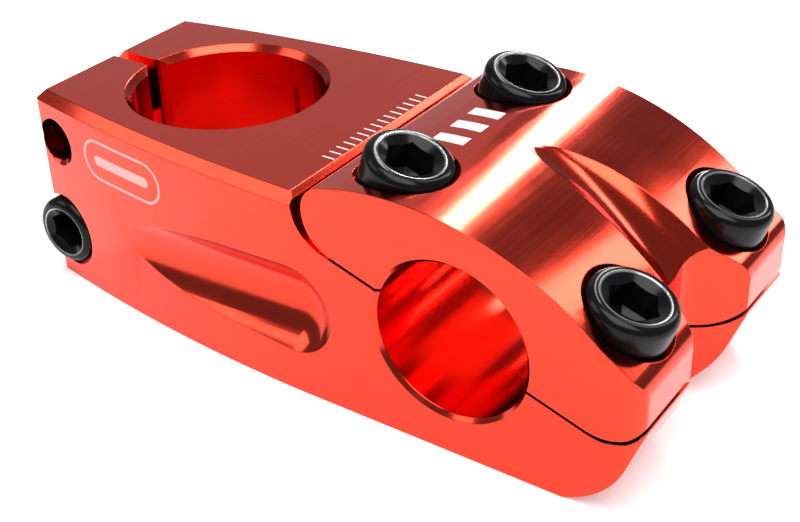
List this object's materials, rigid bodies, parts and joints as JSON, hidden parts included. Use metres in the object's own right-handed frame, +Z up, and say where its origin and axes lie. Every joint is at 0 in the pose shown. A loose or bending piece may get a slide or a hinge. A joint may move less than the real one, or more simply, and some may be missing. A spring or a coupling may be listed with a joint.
{
  "type": "handlebar stem",
  "caption": "Short machined top-load bicycle stem: slotted steerer clamp with pinch bolts and a bolted, sloping cap over the handlebar bore.",
  "frame": {"origin": "on the flat bottom, under the middle of the whole stem's box", "axes": "+X forwards from the steerer clamp to the handlebar clamp, +Y to the rider's left, +Z up along the steerer"},
  "size_m": [0.1054, 0.045, 0.0386],
  "materials": {
    "anodised_body": "bright red anodised, satin machined",
    "anodised_cap": "bright red anodised, polished over fine machining lines",
    "black_bolt": "black oxide, oiled"
  },
  "bodies": {
    "stem": {"stem_body": "anodised_body"},
    "cap": {"bar_clamp_cap": "anodised_cap"},
    "cap_bolt_rear_left": {"cap_bolt_rear_left": "black_bolt"},
    "cap_bolt_rear_right": {"cap_bolt_rear_right": "black_bolt"},
    "cap_bolt_front_left": {"cap_bolt_front_left": "black_bolt"},
    "cap_bolt_front_right": {"cap_bolt_front_right": "black_bolt"},
    "pinch_bolt_upper": {"pinch_bolt_upper": "black_bolt"},
    "pinch_bolt_lower": {"pinch_bolt_lower": "black_bolt"}
  },
  "joints": [
    {"name": "cap_lift", "type": "slide", "parent": "stem", "child": "cap", "axis": [0.309, 0, 0.9511], "range_m": [0, 0.00875]},
    {"name": "cap_bolt_rear_left_turn", "type": "hinge", "parent": "cap", "child": "cap_bolt_rear_left", "pos_m": [0.01342, 0.0145, 0.02953], "axis": [0.309, 0, 0.9511], "range_deg": [0, 2521]},
    {"name": "cap_bolt_rear_right_turn", "type": "hinge", "parent": "cap", "child": "cap_bolt_rear_right", "pos_m": [0.01342, -0.0145, 0.02953], "axis": [0.309, 0, 0.9511], "range_deg": [0, 2521]},
    {"name": "cap_bolt_front_left_turn", "type": "hinge", "parent": "cap", "child": "cap_bolt_front_left", "pos_m": [0.0448, 0.0145, 0.01933], "axis": [0.309, 0, 0.9511], "range_deg": [0, 2521]},
    {"name": "cap_bolt_front_right_turn", "type": "hinge", "parent": "cap", "child": "cap_bolt_front_right", "pos_m": [0.0448, -0.0145, 0.01933], "axis": [0.309, 0, 0.9511], "range_deg": [0, 2521]},
    {"name": "pinch_bolt_upper_turn", "type": "hinge", "parent": "stem", "child": "pinch_bolt_upper", "pos_m": [-0.0473, 0, 0.0237], "axis": [0, 1, 0], "range_deg": [0, 1080]},
    {"name": "pinch_bolt_lower_turn", "type": "hinge", "parent": "stem", "child": "pinch_bolt_lower", "pos_m": [-0.0473, 0, 0.0083], "axis": [0, -1, 0], "range_deg": [0, 1080]}
  ],
  "couplings": [
    {"joint": "cap_bolt_rear_left_turn", "follows": "cap_lift", "rad_per_m": 5026.5},
    {"joint": "cap_bolt_rear_right_turn", "follows": "cap_lift", "rad_per_m": 5026.5},
    {"joint": "cap_bolt_front_left_turn", "follows": "cap_lift", "rad_per_m": 5026.5},
    {"joint": "cap_bolt_front_right_turn", "follows": "cap_lift", "rad_per_m": 5026.5}
  ]
}
